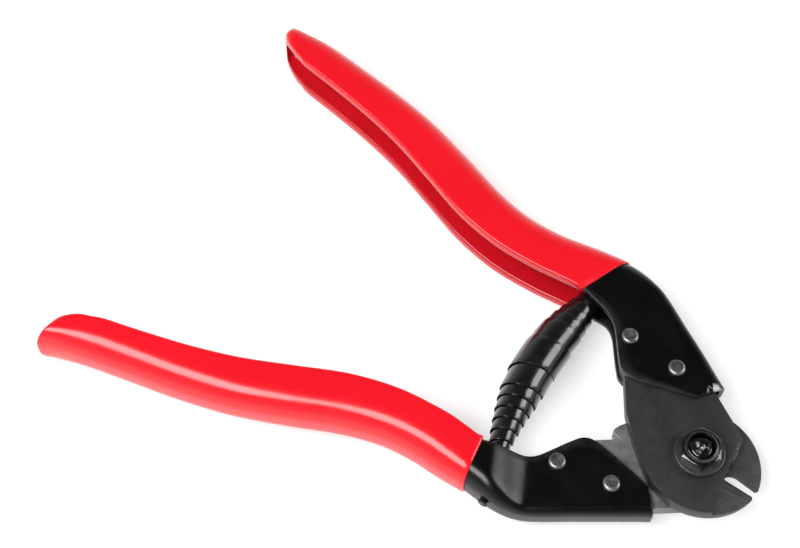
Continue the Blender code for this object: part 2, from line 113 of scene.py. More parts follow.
# the rounded end's rings: how far out, and the share of the section's depth and height left
TIP_PROFILE = {
    UPPER: [(1.0, 0.1, 0.5), (0.97, 0.18, 0.64), (0.93, 0.26, 0.75), (0.86, 0.36, 0.84),
            (0.86, 0.36, 0.84), (0.76, 0.46, 0.9), (0.63, 0.57, 0.94), (0.46, 0.7, 0.97),
            (0.29, 0.84, 0.988), (0.13, 0.95, 0.997)],
    LOWER: [(1.0, 0.35, 0.7), (0.98, 0.5, 0.82), (0.95, 0.62, 0.9), (0.9, 0.72, 0.95),
            (0.9, 0.72, 0.95), (0.82, 0.8, 0.98), (0.7, 0.88, 0.99), (0.53, 0.94, 1.0),
            (0.34, 0.98, 1.0), (0.15, 1.0, 1.0)],
}
TIP_PLUG = 4
# how many of a free edge's points get the painted shade of the dip's inner side
CORE_LIP = 5
# passes of smoothing over the points before each place along X
TIP_RELAX = {
    UPPER: [(-152.0, 3), (-155.0, 4), (-158.0, 5)],
    LOWER: [(-152.0, 2), (-157.0, 2)],
}
# how far each dip's web bends outwards over its last stretch
TIP_FLARE = {UPPER: Vector((0.0, 0.0)), LOWER: Vector((0.6, 1.9))}
FLARE_START, FLARE_LENGTH = -145.0, 15.9
RAMP_START = Vector((-39.7, 27.6))
RAMP_END = Vector((-35.7, 37.1))
RAMP_HALF = 5.8
# points between two sections, along a bend, and round a free edge
STEPS = 8
BEND_STEPS = 9
LIP_POINTS = 10
# the plates: their round nose, the slope of the ground land, the bore and the bevel
NOSE_CENTRE = 1.2
NOSE_RADIUS = 16.2
GRIND_DEGREES = 10.0
BORE_RADIUS = 3.3
BLADE_BEVEL = 0.34
# the fasteners
ACROSS_FLATS = 10.0
WASHER_RADIUS = 6.6
WASHER_THICKNESS = 1.4
NUT_HEIGHT = 3.25
COLLAR_RADIUS = 3.6
HEX_BEVEL = 0.1
RIVET_RADIUS, RIVET_RISE, RIVET_SHANK = 2.3, 0.95, 1.6
# a spot by the upper channel's corner where a bright glint is painted on, in metres
PAINTED_GLINT_SPOT = (-0.0039, 0.0172, 0.0140)


# ---- materials ------------------------------------------------------------------------------
class Nodes:
    """Short hand for one material's node tree."""

    def __init__(self, name):
        self.material = bpy.data.materials.new(name)
        self.material.use_nodes = True
        self.tree = self.material.node_tree
        self.shader = self.tree.nodes["Principled BSDF"]
        self.coords = self.tree.nodes.new("ShaderNodeTexCoord").outputs["Object"]

    def add(self, kind, **settings):
        node = self.tree.nodes.new("ShaderNode" + kind)
        for key, value in settings.items():
            if key in node.inputs:
                node.inputs[key].default_value = value
            else:
                setattr(node, key, value)
        return node

    def link(self, output, socket):
        self.tree.links.new(output, socket)

    def set(self, **values):
        for key, value in values.items():
            self.shader.inputs[key.replace("_", " ")].default_value = value

    def stretched(self, scale, rotation=(0.0, 0.0, 0.0)):
        mapping = self.add("Mapping")
        mapping.inputs["Scale"].default_value = scale
        mapping.inputs["Rotation"].default_value = rotation
        self.link(self.coords, mapping.inputs["Vector"])
        return mapping.outputs["Vector"]

    def noise(self, scale, detail=4.0, roughness=0.55, vector=None):
        node = self.add("TexNoise", Scale=scale, Detail=detail, Roughness=roughness)
        self.link(vector or self.coords, node.inputs["Vector"])
        return node.outputs["Fac"]

    def spread(self, value, low, high, to_low=0.0, to_high=1.0):
        node = self.add("MapRange")
        for key, number in zip(("From Min", "From Max", "To Min", "To Max"),
                               (low, high, to_low, to_high)):
            node.inputs[key].default_value = number
        self.link(value, node.inputs["Value"])
        return node.outputs["Result"]

    def mix(self, factor, a, b):
        node = self.add("Mix", data_type='RGBA')
        self.link(factor, node.inputs[0])
        for socket, color in ((node.inputs[6], a), (node.inputs[7], b)):
            if isinstance(color, tuple):
                socket.default_value = (*color, 1.0)
            else:
                self.link(color, socket)
        return node.outputs[2]

    def math(self, operation, a, b):
        node = self.add("Math", operation=operation)
        for socket, value in zip(node.inputs, (a, b)):
            if isinstance(value, (int, float)):
                socket.default_value = value
            else:
                self.link(value, socket)
        return node.outputs[0]

    def color(self, output):
        self.link(output, self.shader.inputs["Base Color"])

    def rough(self, output):
        self.link(output, self.shader.inputs["Roughness"])

    def bump(self, height, strength, distance):
        node = self.add("Bump", Strength=strength, Distance=distance)
        previous = self.shader.inputs["Normal"]
        if previous.links:
            self.link(previous.links[0].from_socket, node.inputs["Normal"])
        self.link(height, node.inputs["Height"])
        self.link(node.outputs["Normal"], self.shader.inputs["Normal"])


def black_paint(name="gloss_black_paint", roughness=(0.2, 0.32), edge_wear_and_highlight=0.0):
    n = Nodes(name)
    n.set(Specular_IOR_Level=0.42)
    tone = n.mix(n.noise(60.0), (0.0009, 0.0009, 0.0011), (0.0018, 0.0018, 0.0022))
    if edge_wear_and_highlight:
        # free edges and the head's end are painted lighter: partly paint wear, partly a painted
        # highlight along the edges
        rim = n.add("Attribute", attribute_name="rim").outputs["Fac"]
        chips_and_highlight = n.spread(n.noise(260.0, 6.0, 0.7), 0.3, 0.8)
        tone = n.mix(n.math('MULTIPLY', n.math('MULTIPLY', rim, chips_and_highlight), edge_wear_and_highlight), tone,
                     (0.12, 0.12, 0.125))
        # a bright patch painted near the upper channel's corner: a painted highlight (glint)
        away = n.add("VectorMath", operation='DISTANCE')
        n.link(n.coords, away.inputs[0])
        away.inputs[1].default_value = PAINTED_GLINT_SPOT
        near = n.spread(away.outputs["Value"], 0.0024, 0.0012)
        glint_breakup = n.spread(n.noise(520.0, 4.0, 0.6), 0.46, 0.52)
        tone = n.mix(n.math('MULTIPLY', near, glint_breakup), tone, (0.55, 0.55, 0.56))
    n.color(tone)
    n.rough(n.spread(n.noise(140.0, 5.0), 0.3, 0.7, *roughness))
    n.bump(n.noise(520.0, 2.0), 0.10, 0.0002)
    n.bump(n.noise(45.0, 2.0), 0.12, 0.0006)
    return n.material


def red_vinyl():
    n = Nodes("red_vinyl_dip")
    n.set(Specular_IOR_Level=0.42, Coat_Weight=0.25, Coat_Roughness=0.1)
    outer = n.mix(n.noise(30.0, 3.0), (0.78, 0.006, 0.014), (0.90, 0.009, 0.021))
    # the dip's inner side, marked by the core attribute, is painted a darker red: painted shade
    core = n.add("Attribute", attribute_name="core").outputs["Fac"]
    painted_shade_red = n.mix(n.noise(90.0, 4.0), (0.5, 0.006, 0.013), (0.64, 0.009, 0.019))
    n.color(n.mix(core, outer, painted_shade_red))
    n.rough(n.spread(n.noise(110.0, 5.0), 0.3, 0.7, 0.2, 0.27))
    n.bump(n.noise(300.0, 2.0), 0.05, 0.0002)
    n.bump(n.noise(35.0, 2.0), 0.06, 0.0008)
    return n.material


def blade_steel():
    n = Nodes("dark_blade_steel")
    n.set(Metallic=0.75)
    grain = n.noise(1.0, 5.0, 0.6, n.stretched((1500.0, 420.0, 900.0), (0.0, 0.0, 0.6)))
    mottle = n.noise(320.0, 6.0, 0.65)
    both = n.math('ADD', n.math('MULTIPLY', grain, 0.55), n.math('MULTIPLY', mottle, 0.45))
    steel = n.mix(n.spread(both, 0.35, 0.65), (0.053, 0.053, 0.055), (0.065, 0.065, 0.067))
    place = n.add("SeparateXYZ")
    n.link(n.coords, place.inputs[0])
    band = n.math('MULTIPLY', n.spread(place.outputs["X"], 0.0071, 0.0078),
                  n.spread(place.outputs["Y"], 0.0003, 0.0022))
    band = n.math('MULTIPLY', band, n.spread(place.outputs["Y"], 0.0095, 0.0075))
    speckle = n.spread(n.noise(900.0, 3.0, 0.6), 0.42, 0.62)
    n.color(n.mix(n.math('MULTIPLY', band, speckle), steel, (0.17, 0.17, 0.175)))
    n.rough(n.spread(both, 0.35, 0.65, 0.41, 0.47))
    n.bump(both, 0.08, 0.0001)
    return n.material


def back_steel():
    """Bare and bright on the tang, and dark from the pivot outwards."""
    n = Nodes("back_blade_steel")
    n.set(Metallic=0.7)
    x = n.add("SeparateXYZ")
    n.link(n.coords, x.inputs[0])
    mottle = n.noise(380.0, 6.0, 0.7)
    bare = n.mix(n.spread(mottle, 0.35, 0.65), (0.26, 0.26, 0.265), (0.38, 0.38, 0.385))
    dark = n.mix(n.spread(mottle, 0.35, 0.65), (0.07, 0.07, 0.073), (0.1, 0.1, 0.103))
    n.color(n.mix(n.spread(x.outputs["X"], -0.006, 0.004), bare, dark))
    n.rough(n.spread(mottle, 0.35, 0.65, 0.4, 0.52))
    n.bump(mottle, 0.18, 0.0001)
    return n.material


def ground_steel():
    n = Nodes("ground_jaw_steel")
    n.set(Metallic=0.8)
    lines = n.noise(1.0, 6.0, 0.75, n.stretched((60.0, 4200.0, 1500.0)))
    n.color(n.mix(n.spread(lines, 0.36, 0.66), (0.038, 0.038, 0.04), (0.165, 0.165, 0.17)))
    n.rough(n.spread(lines, 0.3, 0.7, 0.26, 0.46))
    n.bump(lines, 0.35, 0.0001)
    return n.material


def rivet_steel():
    n = Nodes("bright_rivet_steel")
    n.set(Metallic=1.0)
    grain = n.noise(450.0, 4.0, 0.6)
    n.color(n.mix(n.spread(grain, 0.3, 0.7), (0.19, 0.19, 0.195), (0.34, 0.34, 0.35)))
    n.rough(n.spread(grain, 0.3, 0.7, 0.34, 0.46))
    n.bump(grain, 0.12, 0.0001)
    return n.material


def black_oxide():
    n = Nodes("black_oxide")
    n.set(Metallic=0.35, Coat_Weight=0.9, Coat_Roughness=0.07)
    mottle = n.noise(380.0, 5.0, 0.65)
    dark = n.mix(n.spread(mottle, 0.4, 0.7), (0.004, 0.004, 0.0048), (0.012, 0.012, 0.0135))
    place = n.add("SeparateXYZ")
    n.link(n.coords, place.inputs[0])
    # lighter patches painted round the axis, on the bolt's end: painted highlights
    radius = n.math('SQRT', n.math('ADD', n.math('POWER', place.outputs["X"], 2.0),
                                   n.math('POWER', place.outputs["Y"], 2.0)), 0.0)
    bolt_end_painted_glint = n.math('MULTIPLY', n.spread(radius, 0.0021, 0.0014),
                  n.spread(n.noise(620.0, 2.0, 0.5), 0.47, 0.56))
    n.color(n.mix(bolt_end_painted_glint, dark, (0.42, 0.42, 0.43)))
    n.rough(n.spread(mottle, 0.35, 0.65, 0.14, 0.24))
    n.bump(mottle, 0.12, 0.0002)
    return n.material


def washer_steel():
    n = Nodes("washer_black_oxide")
    n.set(Metallic=0.7)
    mottle = n.noise(420.0, 5.0, 0.6)
    n.color(n.mix(n.spread(mottle, 0.35, 0.65), (0.062, 0.062, 0.065), (0.085, 0.085, 0.089)))
    n.rough(n.spread(mottle, 0.35, 0.65, 0.34, 0.46))
    n.bump(mottle, 0.1, 0.0001)
    return n.material


def spring_steel():
    n = Nodes("black_spring_steel")
    n.set(Metallic=0.3, Coat_Weight=1.0, Coat_Roughness=0.17)
    mottle = n.noise(240.0, 4.0, 0.6)
    n.color(n.mix(n.spread(mottle, 0.35, 0.7), (0.004, 0.004, 0.0048), (0.012, 0.012, 0.0135)))
    n.rough(n.spread(mottle, 0.35, 0.65, 0.14, 0.26))
    n.bump(mottle, 0.12, 0.0002)
    return n.material


PAINT = black_paint(edge_wear_and_highlight=0.3)
VINYL = red_vinyl()
BLADE = blade_steel()
BACK = back_steel()
GROUND = ground_steel()
RIVET = rivet_steel()
OXIDE = black_oxide()
WASHER = washer_steel()
SPRING = spring_steel()
STUD = black_paint("stud_black", (0.2, 0.35))


# ---- shape helpers --------------------------------------------------------------------------
def arm_matrix(body):
    turn = Matrix.Rotation(math.pi, 4, 'X') if body == LOWER else Matrix.Identity(4)
    return Matrix.Translation((0.0, 0.0, PARTING * MM)) @ turn @ Matrix.Scale(MM, 4)


def smooth_path(points, steps):
    pts = [Vector(p) for p in points]
    pts = [2 * pts[0] - pts[1]] + pts + [2 * pts[-1] - pts[-2]]
    path = []
    for a, b, c, d in zip(pts, pts[1:], pts[2:], pts[3:]):
        for i in range(steps):
            t = i / steps
            path.append(0.5 * (2 * b + (c - a) * t + (2 * a - 5 * b + 4 * c - d) * t * t
                               + (3 * b - a - 3 * c + d) * t ** 3))
    path.append(pts[-2])
    return path


def finish_mesh(obj, sharp=35.0):
    bm = bmesh.new()
    bm.from_mesh(obj.data)
    bmesh.ops.recalc_face_normals(bm, faces=bm.faces)
    bm.to_mesh(obj.data)
    bm.free()
    obj.data.shade_smooth()
    obj.data.set_sharp_from_angle(angle=math.radians(sharp))


def piece(name, verts, faces, body, materials, replaced, attributes=None):
    """A finished mesh of the arm's own millimetres, standing for a CAD node."""
    mesh = bpy.data.meshes.new(name)
    mesh.from_pydata([tuple(v) for v in verts], [], faces)
    mesh.transform(arm_matrix(body))
    for key, values in (attributes or {}).items():
        mesh.attributes.new(key, 'FLOAT', 'POINT').data.foreach_set("value", values)
    obj = bpy.data.objects.new(name, mesh)
    bpy.context.scene.collection.objects.link(obj)
    for material in materials:
        mesh.materials.append(material)
    finish_mesh(obj)
    if replaced:
        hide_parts(replaced)
    return obj


def ring_faces(start, count, rings):
    faces = []
    for k in range(rings - 1):
        a = start + k * count
        for i in range(count):
            j = (i + 1) % count
            faces.append((a + i, a + j, a + count + j, a + count + i))
    return faces


def turned(name, profile, body, materials, replaced, at=(0.0, 0.0), steps=72):
    """A turned piece: (radius, height) points from the top of its axis or bore, outwards."""
    verts = []
    for k in range(steps):
        angle = 2 * math.pi * k / steps
        verts += [(at[0] + r * math.cos(angle), at[1] + r * math.sin(angle), z)
                  for r, z in profile]
    count = len(profile)
    faces = []
    closed = profile[0][0] > 0.0
    for k in range(steps):
        a, b = k * count, (k + 1) % steps * count
        for i in range(count if closed else count - 1):
            j = (i + 1) % count
            faces.append((a + i, a + j, b + j, b + i))
    obj = piece(name, verts, faces, body, materials, replaced)
    weld(obj)
    return obj


def weld(obj, distance=2e-6):
    bm = bmesh.new()
    bm.from_mesh(obj.data)
    bmesh.ops.remove_doubles(bm, verts=bm.verts, dist=distance)
    bmesh.ops.dissolve_degenerate(bm, edges=bm.edges, dist=1e-7)
    bm.to_mesh(obj.data)
    bm.free()
    finish_mesh(obj)


def arc(cx, cy, radius, start, end, steps):
    return [(cx + radius * math.cos(math.radians(start + (end - start) * i / steps)),
             cy + radius * math.sin(math.radians(start + (end - start) * i / steps)))
            for i in range(steps + 1)]


def applied(obj):
    """Makes the object's modifiers part of its mesh."""
    bpy.context.view_layer.update()
    graph = bpy.context.evaluated_depsgraph_get()
    mesh = bpy.data.meshes.new_from_object(obj.evaluated_get(graph))
    obj.modifiers.clear()
    obj.data = mesh


def temporary(name, verts, faces):
    mesh = bpy.data.meshes.new(name)
    mesh.from_pydata([tuple(v) for v in verts], [], faces)
    obj = bpy.data.objects.new(name, mesh)
    bpy.context.scene.collection.objects.link(obj)
    return obj


def cut(obj, cutters, operation='DIFFERENCE'):
    for cutter in cutters:
        boolean = obj.modifiers.new("cut", 'BOOLEAN')
        boolean.operation = operation
        boolean.solver = 'EXACT'
        boolean.object = cutter
    applied(obj)
    for cutter in cutters:
        bpy.data.objects.remove(cutter)


# ---- channel and grip -----------------------------------------------------------------------
def ramp(point):
    along = (RAMP_END - RAMP_START).normalized()
    ahead = Vector((along.y, -along.x)).dot(point - RAMP_START)
    t = min(max((ahead + RAMP_HALF) / (2 * RAMP_HALF), 0.0), 1.0)
    return t * t * (3 - 2 * t)


def channel_side(web, edge, inset, reach):
    """(depth, height) points of one side of the U section, from front edge to back edge."""
    depth = (edge - web).length
    bend = GRIP_BEND + (HEAD_BEND - GRIP_BEND) * ramp(web)
    points = []
    for side in (1, -1):
        head = HEAD_FRONT if side > 0 else HEAD_BACK
        wall = []
        for i in range(7):
            f = 1 - i / 6
            at = bend + (depth - bend) * f
            level = ramp(web.lerp(edge, at / depth))
            height = side * CHANNEL_HALF * (1 - level) + head * level - side * inset
            wall.append((at + (reach if i == 0 else 0.0), height))
        radius = bend - inset
        for i in range(1, BEND_STEPS + 1):
            angle = math.radians(90) * i / BEND_STEPS
            wall.append((inset + radius * (1 - math.sin(angle)),
                         height - side * radius * (1 - math.cos(angle))))
        points += wall if side > 0 else wall[::-1]
    return points


def lip(outer_end, inner_end, radius, side):
    """Points round a free edge from its outer corner to its inner one."""
    points = []
    angles = [math.radians(v) for v in (0, 22, 45, 68, 90)]
    for (depth, height), turn in ((outer_end, 1), (inner_end, -1)):
        fall = turn * side * radius
        corner = [(depth - radius * (1 - math.sin(a)), height - fall * (1 - math.cos(a)))
                  for a in angles]
        points += corner if turn > 0 else corner[::-1]
    return points


def u_ring(web, edge, out, inside, radius):
    """A closed U-section loop with rounded free edges, and which of its points are on them.

    out is how far the loop stands outside the sheet's outer face, inside how far it lies
    within its inner face.
    """
    reach = out - radius
    outer = channel_side(web, edge, -out, reach)
    inner = channel_side(web, edge, WALL + inside, reach)
    tip = outer[0][0] + radius
    back = lip((tip, outer[-1][1]), (tip, inner[-1][1]), radius, -1)
    front = lip((tip, outer[0][1]), (tip, inner[0][1]), radius, 1)[::-1]
    loop = outer[1:-1] + back + inner[1:-1][::-1] + front
    marks = ([0.0] * (len(outer) - 2) + [1.0] * len(back)) * 2
    into = (edge - web).normalized()
    return [(*(web + into * d), h) for d, h in loop], marks[:len(loop)]


def u_cap(start, count):
    """Quads over a U-shaped end: the loop's two halves face each other."""
    half = count // 2
    body = half - LIP_POINTS
    outer = [start + i for i in range(body)]
    back = [start + body + i for i in range(LIP_POINTS)]
    inner = [start + half + i for i in range(body)][::-1]
    front = [start + half + body + i for i in range(LIP_POINTS)]
    faces = [(outer[i], outer[i + 1], inner[i + 1], inner[i]) for i in range(body - 1)]
    faces.append(tuple([outer[-1]] + back + [inner[-1]]))
    faces.append(tuple([inner[0]] + front + [outer[0]]))
    return faces


def stations(last=None):
    sections = SECTIONS[:last + 1] if last else SECTIONS
    ghost = SECTIONS[:len(sections) + 1]
    web = smooth_path([s[0] for s in ghost], STEPS)
    edge = smooth_path([s[1] for s in ghost], STEPS)
    count = (len(sections) - 1) * STEPS + 1
    return list(zip(web, edge))[:count]


def swell(body, x):
    knots = SWELL[body]
    for (x0, v0), (x1, v1) in zip(knots, knots[1:]):
        if x <= x1:
            t = max((x - x0) / (x1 - x0), 0.0)
            return v0 + (v1 - v0) * t * t * (3 - 2 * t)
    return knots[-1][1]


def lifted(rows, body):
    """The rows with the channel's web standing out by this arm's amount."""
    out = []
    for web, edge in rows:
        share = max((FLARE_START - web.x) / FLARE_LENGTH, 0.0) ** 2
        rise = (web - edge).normalized() * swell(body, web.x)
        out.append((web + rise + TIP_FLARE[body] * share, edge))
    return out


def coat_rows(end, body):
    """The rows that the dip covers, the last one lying on the dip's own end line."""
    rows = stations(COAT_SECTIONS)
    end_web, end_edge = Vector(end[0]), Vector(end[1])
    rows = [r for r in rows if r[0].x < end_web.x - 1.5 and r[1].x < end_edge.x - 1.5]
    (w, e) = rows[-1]
    rows += [(w.lerp(end_web, f), e.lerp(end_edge, f)) for f in (0.5, 0.8, 1.0)]
    return lifted(rows, body)


def build_channel(body, name, node):
    rows = lifted(stations(), body)
    radius = 0.32
    mouth = COAT_END[body][0][0]
    rings = []
    for w, e in rows[:-1]:
        under = min(max((mouth - 2.0 - w.x) / 3.0, 0.0), 1.0)
        rings.append(u_ring(w, e, 0.0, -SHEET_RELIEF * under, radius))
    (w0, e0), (w1, e1) = rows[-2:]
    for f, shrink in ((0.35, 0.0), (0.8, 0.08), (1.0, 0.28)):
        rings.append(u_ring(w0.lerp(w1, f), e0.lerp(e1, f), -shrink, -shrink, radius))
    marks = [m for _, ring_marks in rings for m in ring_marks]
    count = len(rings[0][0])
    verts = [v for ring, _ in rings for v in ring]
    faces = ring_faces(0, count, len(rings))
    faces += u_cap(0, count) + u_cap((len(rings) - 1) * count, count)
    for k in range(3 * count):
        marks[-1 - k] = 1.0
    obj = piece(name, verts, faces, body, [PAINT], node, {"rim": marks})
    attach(obj, body)


def tip_rings(body, web, edge, ring, solid):
    """Rings that round off the dip's closed end, from its outermost one inwards."""
    nose = web.lerp(edge, TIP_NOSE[body])
    across = edge - web
    rings = []
    for i, (push, depth, height) in enumerate(TIP_PROFILE[body]):
        scaled = []
        for x, y, z in (solid if i < TIP_PLUG else ring):
            share = (Vector((x, y)) - web).dot(across) / across.length_squared
            lean = Vector((-TIP_LEAN[body] * min(max(share, 0.0), 1.0), 0.0))
            p = nose + (Vector((x, y)) - nose) * depth + (TIP[body] + lean) * push
            scaled.append((p.x, p.y, z * height))
        rings.append(scaled)
    return rings


def round_tip(obj, body):
    """Relaxes the dip's closed end, more the nearer to its tip."""
    bm = bmesh.new()
    bm.from_mesh(obj.data)
    for limit, passes in TIP_RELAX[body]:
        verts = [v for v in bm.verts if v.co.x < limit * MM]
        for _ in range(passes):
            bmesh.ops.smooth_vert(bm, verts=verts, factor=0.5, use_axis_x=True, use_axis_y=True,
                                  use_axis_z=True)
    bm.to_mesh(obj.data)
    bm.free()


def build_grip(body, name, node):
    rows = coat_rows(COAT_END[body], body)
    inside = COAT_GAP + COAT_INSIDE - SHEET_RELIEF
    radius = 0.72
    web, edge = rows[0]
    base, _ = u_ring(web, edge, COAT_GAP + COAT, inside, radius)
    rings = tip_rings(body, web, edge, base, filled(base))
    mouth = COAT_END[body][0][0]
    for w, e in rows[:-2]:
        thin = min(max((w.x - mouth + MOUTH_TAPER) / MOUTH_TAPER, 0.0), 1.0)
        rings.append(u_ring(w, e, COAT_GAP + COAT - 0.75 * thin * thin, inside, radius)[0])
    w, e = rows[-1]
    for back, out, core in ((0.5, 0.5, inside), (0.2, 0.42, inside), (0.05, 0.25, inside - 0.15),
                            (0.0, 0.1, inside - 0.3)):
        step = (rows[-2][0] - w).normalized() * back
        rings.append(u_ring(w + step, e + step, out, core, 0.55)[0])
    count = len(rings[0])
    verts = [v for ring in rings for v in ring]
    faces = ring_faces(0, count, len(rings))
    faces += u_cap(0, count) + u_cap((len(rings) - 1) * count, count)
    # the dip's inner side and the inner part of its free edges are marked for the painted shade
    core = range(count // 2 - CORE_LIP, count - LIP_POINTS + CORE_LIP)
    marks = [1.0 if i in core else 0.0 for i in range(count)]
    obj = piece(name, verts, faces, body, [VINYL], node,
                {"core": marks * len(rings)})
    round_tip(obj, body)
    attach(obj, body)


def filled(ring):
    """The U loop with its inner side pulled out to the free edges."""
    half = len(ring) // 2
    body = half - LIP_POINTS
    points = [Vector(p) for p in ring]
    inner = range(half, half + body)
    first, last = points[half - 1], points[half + body]
    rim = (first + last) / 2
    web_side = points[half + body // 2]
    direction = Vector((rim.x - web_side.x, rim.y - web_side.y, 0.0))
    into = direction.normalized()
    depth_rim = direction.length
    for i in inner:
        p = points[i]
        d = Vector((p.x - web_side.x, p.y - web_side.y, 0.0)).dot(into)
        target = depth_rim - 0.35 - (depth_rim - d) * 0.04
        points[i] = p + into * (target - d)
    return [tuple(p) for p in points]


# ---- blades ---------------------------------------------------------------------------------
TANG_EDGE = [(-26.0, 9.5), (-27.9, 11.3), (-30.6, 15.2), (-33.5, 19.8), (-34.0, 22.6),
             (-32.0, 25.2), (-22.0, 26.0), (-5.4, 18.8)]
SHOULDER = [(7.8, 9.8), (8.4, 5.7), (8.6, 3.6), (8.3, 0.6)]
FLANK = [(-12.3, -8.4), (-16.5, -4.3), (-21.0, 0.8)]
FLANK_WITH_LUG = [(-12.3, -8.4), (-16.5, -4.3), (-20.3, 0.4), (-21.2, 1.6), (-21.8, 2.9),
                  (-21.9, 3.6), (-21.6, 4.0), (-21.1, 4.2), (-19.3, 4.8), (-24.2, 8.2)]
UPPER_EDGE = [(8.32, -0.9), (8.5, -1.3), (9.0, -1.45), (16.6, -2.0)]
LOWER_EDGE = [(8.5, 0.25), (9.1, -0.3), (9.9, -0.7), (10.9, -0.9), (16.6, 0.1)]
GROUND_LAND = [(8.2, 3.0), (8.2, -1.3), (8.9, -4.4), (9.2, -7.8), (9.9, -12.0), (10.0, -19.0),
               (24.0, -19.0), (24.0, 3.0)]


def prism(name, outline, low, high):
    count = len(outline)
    verts = [(x, y, z) for z in (low, high) for x, y in outline]
    faces = [tuple(range(count))[::-1], tuple(range(count, 2 * count))]
    faces += [(i, (i + 1) % count, count + (i + 1) % count, count + i) for i in range(count)]
    return temporary(name, verts, faces)


def cylinder(name, radius, low, high, steps=64):
    angles = [2 * math.pi * k / steps for k in range(steps)]
    return prism(name, [(radius * math.cos(a), radius * math.sin(a)) for a in angles], low, high)


def build_blade(body, name, node, edge, flank):
    start = math.degrees(math.asin((edge[-1][1] - 0.7 - NOSE_CENTRE) / NOSE_RADIUS))
    round_end = arc(NOSE_CENTRE, NOSE_CENTRE, NOSE_RADIUS, start, -136, 60)
    outline = TANG_EDGE + SHOULDER + edge + round_end + flank
    blade = prism(name, outline, BLADE_LOW, BLADE_HIGH)
    slope = -math.tan(math.radians(GRIND_DEGREES))
    ground = prism("grind", GROUND_LAND, 0.0, 9.0)
    for v in ground.data.vertices:
        v.co.z += 0.8 + (v.co.y + 1.3) * slope
    cut(blade, [ground, cylinder("bore", BORE_RADIUS, -2, 8)])
    bevel = blade.modifiers.new("bevel", 'BEVEL')
    bevel.width = BLADE_BEVEL
    bevel.segments = 3
    bevel.limit_method = 'ANGLE'
    bevel.angle_limit = math.radians(40)
    bevel.use_clamp_overlap = True
    bevel.harden_normals = False
    applied(blade)
    mesh = blade.data
    mesh.transform(arm_matrix(body))
    mesh.materials.append(BLADE if body == UPPER else BACK)
    mesh.materials.append(GROUND)
    for face in mesh.polygons:
        sloped = 0.12 < abs(face.normal.y) < 0.3 and abs(face.normal.z) > 0.9
        if sloped and face.center.x > 8.3 * MM:
            face.material_index = 1
    blade.name = name
    finish_mesh(blade, 38.0)
    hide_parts(node)
    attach(blade, body)


# ---- fasteners ------------------------------------------------------------------------------
def build_rivets(body, arm):
    edge = [(0.0, RIVET_RISE - 0.06), (1.0, RIVET_RISE), (1.35, RIVET_RISE)]
    for degrees in range(12, 91, 13):
        a = math.radians(degrees)
        edge.append((1.35 + 0.95 * math.sin(a), RIVET_RISE - 0.68 * (1 - math.cos(a))))
    edge += [(RIVET_RADIUS, 0.2), (RIVET_RADIUS - 0.06, 0.02), (RIVET_SHANK, 0.02)]
    profile = [(x, HEAD_FRONT + z) for x, z in edge]
    profile += [(x, HEAD_BACK - z) for x, z in reversed(edge)]
    for key, spot in RIVETS.items():
        node = f"{arm}_{key}_rivet"
        obj = turned(f"{node}_peened", profile, body, [RIVET], node, spot,
                     48)
        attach(obj, body)


def hexagon(low, high):
    radius = ACROSS_FLATS / math.sqrt(3)
    angles = [math.radians(60 * k - 4) for k in range(6)]
    outline = [(radius * math.cos(a), radius * math.sin(a)) for a in angles]
    return prism("hexagon", outline, low, high)


def turned_cutter(profile):
    obj = turned("cutter", profile, UPPER, [], None, steps=96)
    obj.data.transform(arm_matrix(UPPER).inverted())
    return obj


def hex_piece(name, body, obj, cutters, node):
    """A hexagon shaped by turned cutters, each with its boolean operation."""
    for cutter, operation in cutters:
        cut(obj, [cutter], operation)
    mod = obj.modifiers.new("bevel", 'BEVEL')
    mod.width = HEX_BEVEL
    mod.segments = 2
    mod.limit_method = 'ANGLE'
    mod.angle_limit = math.radians(35)
    applied(obj)
    obj.data.transform(Matrix.Translation((0, 0, PARTING * MM)) @ Matrix.Scale(MM, 4))
    obj.data.materials.append(OXIDE)
    obj.name = name
    finish_mesh(obj, 40.0)
    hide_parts(node)
    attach(obj, body)


